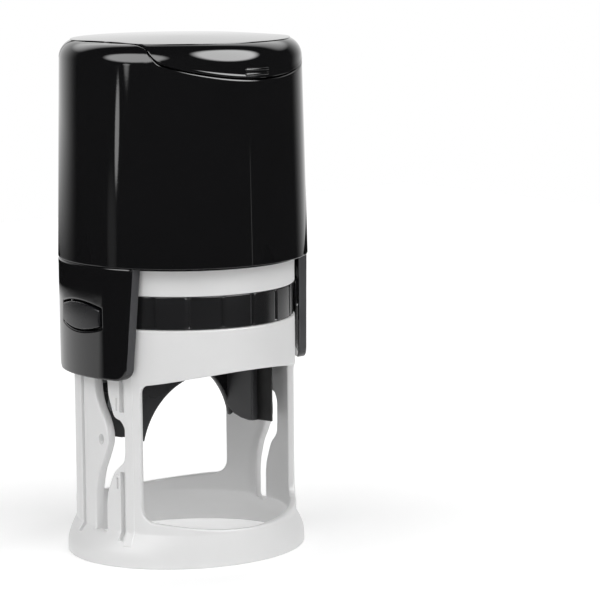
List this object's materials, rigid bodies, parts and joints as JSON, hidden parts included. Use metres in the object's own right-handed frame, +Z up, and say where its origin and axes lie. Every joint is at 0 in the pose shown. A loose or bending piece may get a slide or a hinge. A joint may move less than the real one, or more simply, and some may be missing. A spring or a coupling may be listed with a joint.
{
  "type": "self-inking stamp",
  "caption": "Round self-inking hand stamp: a glossy black cap slides on a white open frame and turns an inked die over onto the paper, with a pull-out ink pad.",
  "frame": {"origin": "middle of the foot's underside, where the stamp stands on the paper", "axes": "+Z up along the cap's travel, front with the pad's grooved band at -Y, legs and lock buttons at -X and +X"},
  "size_m": [0.0528, 0.0522, 0.108],
  "materials": {
    "white_plastic": "injection moulded, satin white",
    "black_gloss": "injection moulded, polished black",
    "black_satin": "injection moulded, satin black",
    "steel": "drawn wire and turned pins",
    "card": "plain uncoated card",
    "foam": "closed-cell foam",
    "die_rubber": "engraved red-brown rubber",
    "ink_felt": "ink-soaked felt"
  },
  "bodies": {
    "base": {"base_frame": "white_plastic", "deck_plate": "white_plastic", "return_spring": "steel"},
    "cap": {"cap_shell": "black_gloss", "cap_sleeve": "black_gloss", "drive_yoke": "black_satin", "axle_pin_left": "steel", "axle_pin_right": "steel", "spring_cup": "black_satin", "index_card": "card"},
    "die": {"die_holder": "black_satin", "guide_pin_left": "steel", "guide_pin_right": "steel", "die_cushion": "foam", "die_plate": "die_rubber"},
    "pad": {"pad_tray": "black_gloss", "ink_pad": "ink_felt"},
    "lid": {"cap_lid": "black_gloss"},
    "button_left": {"lock_button_left": "black_satin"},
    "button_right": {"lock_button_right": "black_satin"}
  },
  "joints": [
    {"name": "cap_press", "type": "slide", "parent": "base", "child": "cap", "axis": [0, 0, -1], "range_m": [0, 0.03], "stiffness_N_per_m": 400, "springref_m": -0.012, "deforming": ["return_spring"]},
    {"name": "die_flip", "type": "hinge", "parent": "cap", "child": "die", "pos_m": [0, 0, 0.0385], "axis": [1, 0, 0], "range_deg": [0, 180]},
    {"name": "lock_press_left", "type": "slide", "parent": "cap", "child": "button_left", "axis": [1, 0, 0], "range_m": [0, 0.0009], "stiffness_N_per_m": 300, "springref_m": -0.001},
    {"name": "lock_press_right", "type": "slide", "parent": "cap", "child": "button_right", "axis": [-1, 0, 0], "range_m": [0, 0.0009], "stiffness_N_per_m": 300, "springref_m": -0.001},
    {"name": "pad_slide", "type": "slide", "parent": "base", "child": "pad", "axis": [0, -1, 0], "range_m": [0, 0.05]},
    {"name": "lid_lift", "type": "slide", "parent": "cap", "child": "lid", "axis": [0, 0, 1], "range_m": [0, 0.012]}
  ],
  "couplings": [
    {"joint": "die_flip", "follows": "cap_press", "rad_per_m": 104.72}
  ]
}
